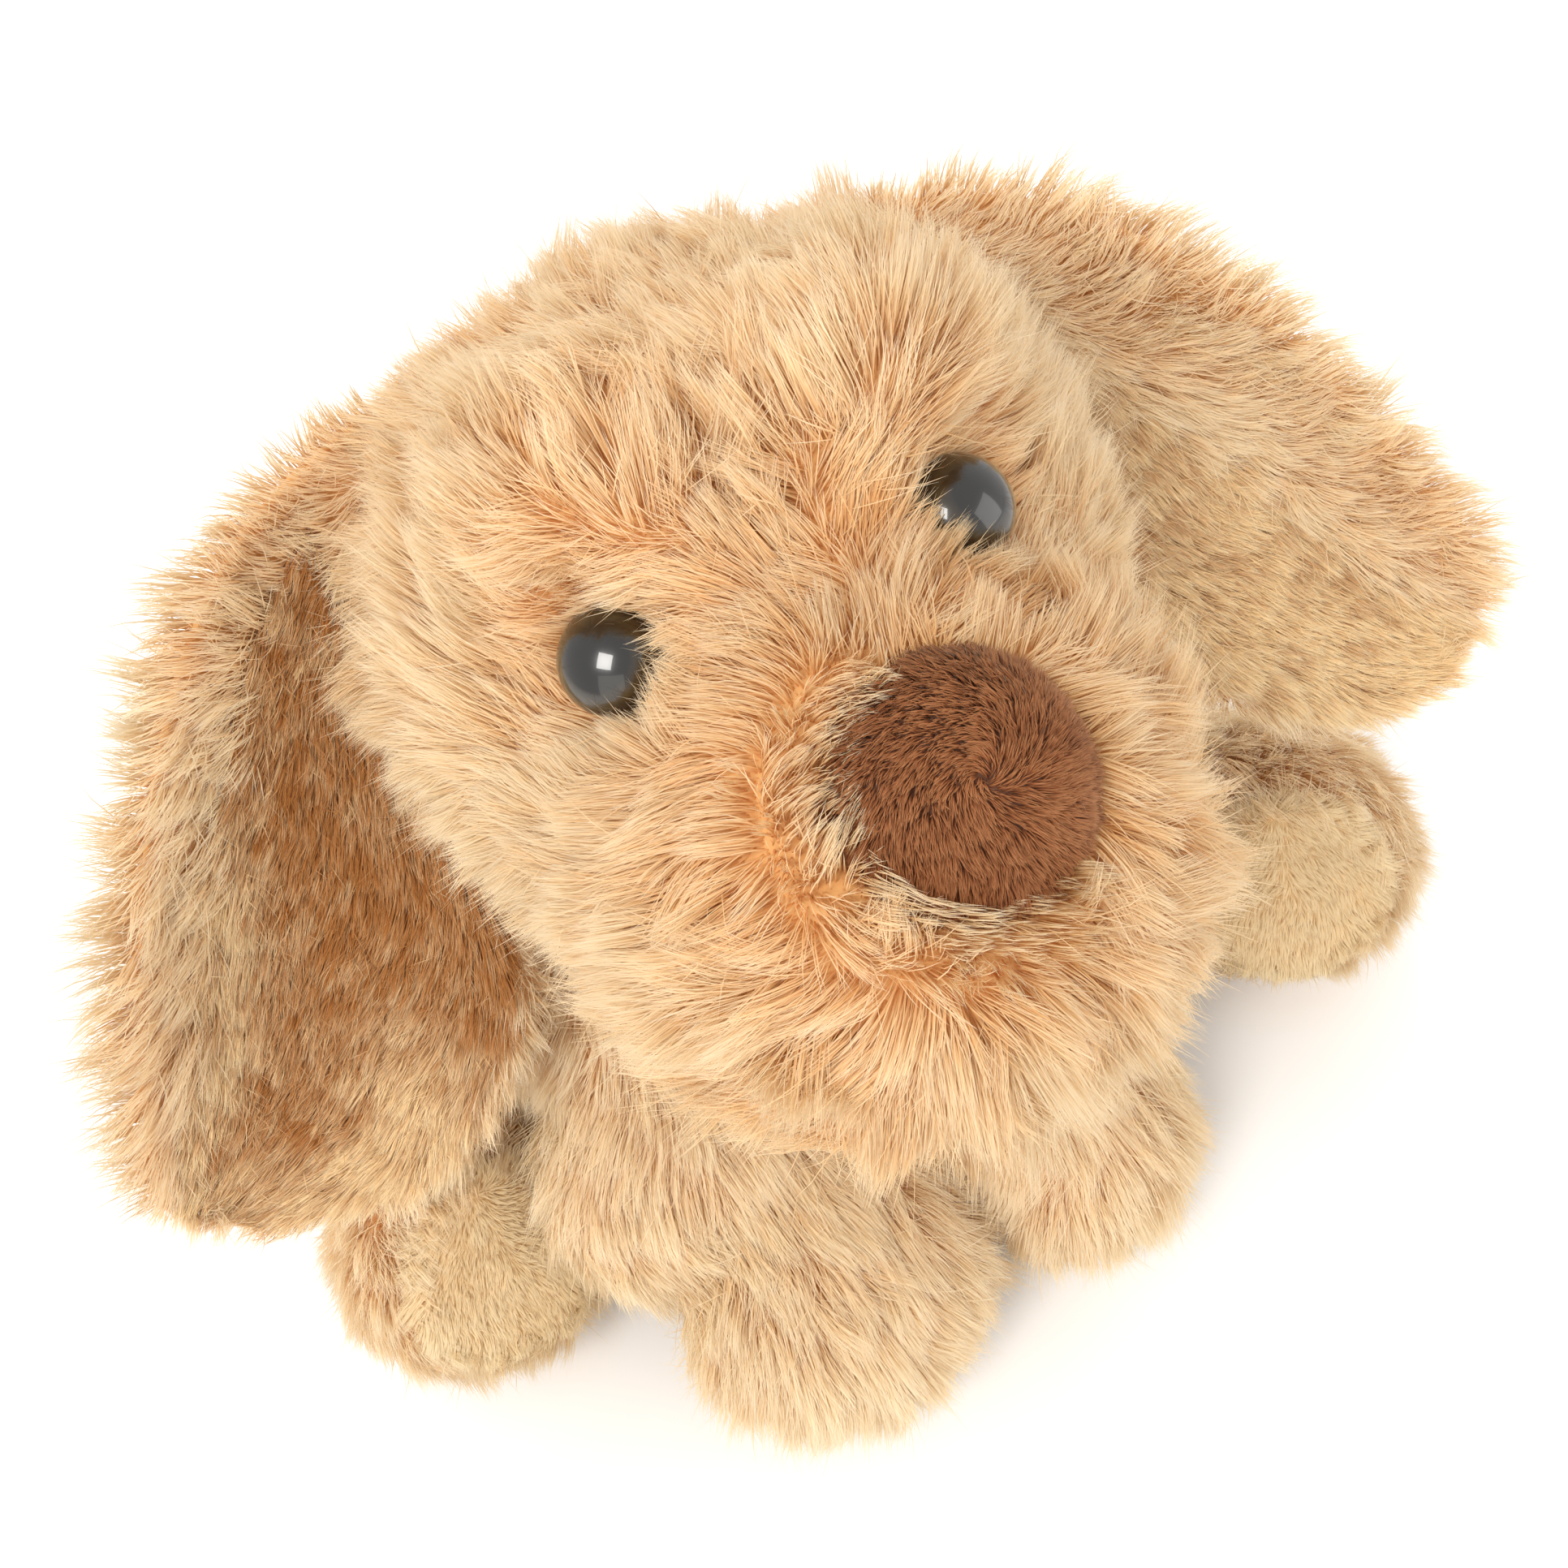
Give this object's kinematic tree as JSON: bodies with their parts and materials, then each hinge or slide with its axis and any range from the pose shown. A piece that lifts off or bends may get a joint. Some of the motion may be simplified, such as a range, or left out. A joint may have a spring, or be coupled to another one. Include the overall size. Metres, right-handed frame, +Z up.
{
  "type": "plush dog",
  "caption": "Sitting plush dog with long cream pile, floppy lined ears, domed eyes, velour nose and sole pads, fibre filled with a pellet bag in the seat.",
  "frame": {"origin": "centre of the flat seat under the torso, on the ground", "axes": "+Z up, the dog faces -Y, +X towards the dog's left ear"},
  "size_m": [0.22, 0.1791, 0.1758],
  "materials": {
    "long_pile_plush": "long soft plush pile, apricot cream with paler tips",
    "ear_lining_velour": "short velour pile, tan beige",
    "sole_velour": "short velour pile, pale cream",
    "nose_velour": "short velour pile, brown",
    "eye_clear": "clear moulded dome, polished",
    "eye_iris": "dark olive iris disc with black pupil",
    "washer_plastic": "white moulded plastic",
    "fibre_stuffing": "white polyester fibre",
    "bag_cloth": "plain woven cotton",
    "pellet_plastic": "white plastic beads"
  },
  "bodies": {
    "torso": {"back_panel_left": "long_pile_plush", "back_panel_right": "long_pile_plush", "chest_panel": "long_pile_plush", "pellet_bag": "bag_cloth", "pellets": "pellet_plastic", "seat_panel": "long_pile_plush", "torso_stuffing": "fibre_stuffing"},
    "neck": {"neck_panel": "long_pile_plush", "neck_stuffing": "fibre_stuffing"},
    "head": {"cheek_left": "long_pile_plush", "cheek_right": "long_pile_plush", "chin_gusset": "long_pile_plush", "eye_base_left": "eye_iris", "eye_base_right": "eye_iris", "eye_lens_left": "eye_clear", "eye_lens_right": "eye_clear", "eye_washer_left": "washer_plastic", "eye_washer_right": "washer_plastic", "forehead_gusset": "long_pile_plush", "head_back_left": "long_pile_plush", "head_back_right": "long_pile_plush", "head_stuffing": "fibre_stuffing", "nose_cover": "nose_velour", "nose_stuffing": "fibre_stuffing"},
    "left_ear": {"ear_lining_left": "ear_lining_velour", "ear_outer_left": "long_pile_plush"},
    "right_ear": {"ear_lining_right": "ear_lining_velour", "ear_outer_right": "long_pile_plush"},
    "left_front_leg": {"front_leg_inner_left": "long_pile_plush", "front_leg_outer_left": "long_pile_plush", "front_leg_stuffing_left": "fibre_stuffing"},
    "right_front_leg": {"front_leg_inner_right": "long_pile_plush", "front_leg_outer_right": "long_pile_plush", "front_leg_stuffing_right": "fibre_stuffing"},
    "left_hind_leg": {"hind_leg_lower_left": "long_pile_plush", "hind_leg_stuffing_left": "fibre_stuffing", "hind_leg_upper_left": "long_pile_plush", "sole_pad_left": "sole_velour"},
    "right_hind_leg": {"hind_leg_lower_right": "long_pile_plush", "hind_leg_stuffing_right": "fibre_stuffing", "hind_leg_upper_right": "long_pile_plush", "sole_pad_right": "sole_velour"},
    "tail": {"tail_panel_left": "long_pile_plush", "tail_panel_right": "long_pile_plush", "tail_stuffing": "fibre_stuffing"}
  },
  "joints": [
    {"name": "head_turn", "type": "hinge", "parent": "torso", "child": "neck", "pos_m": [0, -0.013, 0.086], "axis": [0, 0, 1], "range_deg": [-25, 25], "stiffness_Nm_per_rad": 1.2},
    {"name": "head_nod", "type": "hinge", "parent": "neck", "child": "head", "pos_m": [0, -0.013, 0.086], "axis": [-1, 0, 0], "range_deg": [-12, 18], "stiffness_Nm_per_rad": 1.2},
    {"name": "left_ear_flap", "type": "hinge", "parent": "head", "child": "left_ear", "pos_m": [0.034, -0.01004, 0.16424], "axis": [0.4868, -0.3278, -0.8097], "range_deg": [-35, 50], "stiffness_Nm_per_rad": 0.06},
    {"name": "right_ear_flap", "type": "hinge", "parent": "head", "child": "right_ear", "pos_m": [-0.034, -0.01004, 0.16424], "axis": [0.4868, 0.3278, 0.8097], "range_deg": [-35, 50], "stiffness_Nm_per_rad": 0.06},
    {"name": "left_front_leg_swing", "type": "hinge", "parent": "torso", "child": "left_front_leg", "pos_m": [0.044, -0.031, 0.06], "axis": [-1, 0, 0], "range_deg": [-4, 30], "stiffness_Nm_per_rad": 0.8},
    {"name": "right_front_leg_swing", "type": "hinge", "parent": "torso", "child": "right_front_leg", "pos_m": [-0.044, -0.031, 0.06], "axis": [-1, 0, 0], "range_deg": [-4, 30], "stiffness_Nm_per_rad": 0.8},
    {"name": "left_hind_leg_swing", "type": "hinge", "parent": "torso", "child": "left_hind_leg", "pos_m": [0.048, 0.003, 0.021], "axis": [0, 0, 1], "range_deg": [-4, 20], "stiffness_Nm_per_rad": 0.8},
    {"name": "right_hind_leg_swing", "type": "hinge", "parent": "torso", "child": "right_hind_leg", "pos_m": [-0.048, 0.003, 0.021], "axis": [0, 0, -1], "range_deg": [-4, 20], "stiffness_Nm_per_rad": 0.8},
    {"name": "tail_wag", "type": "hinge", "parent": "torso", "child": "tail", "pos_m": [0, 0.047, 0.024], "axis": [0, 0, 1], "range_deg": [-30, 30], "stiffness_Nm_per_rad": 0.03}
  ]
}
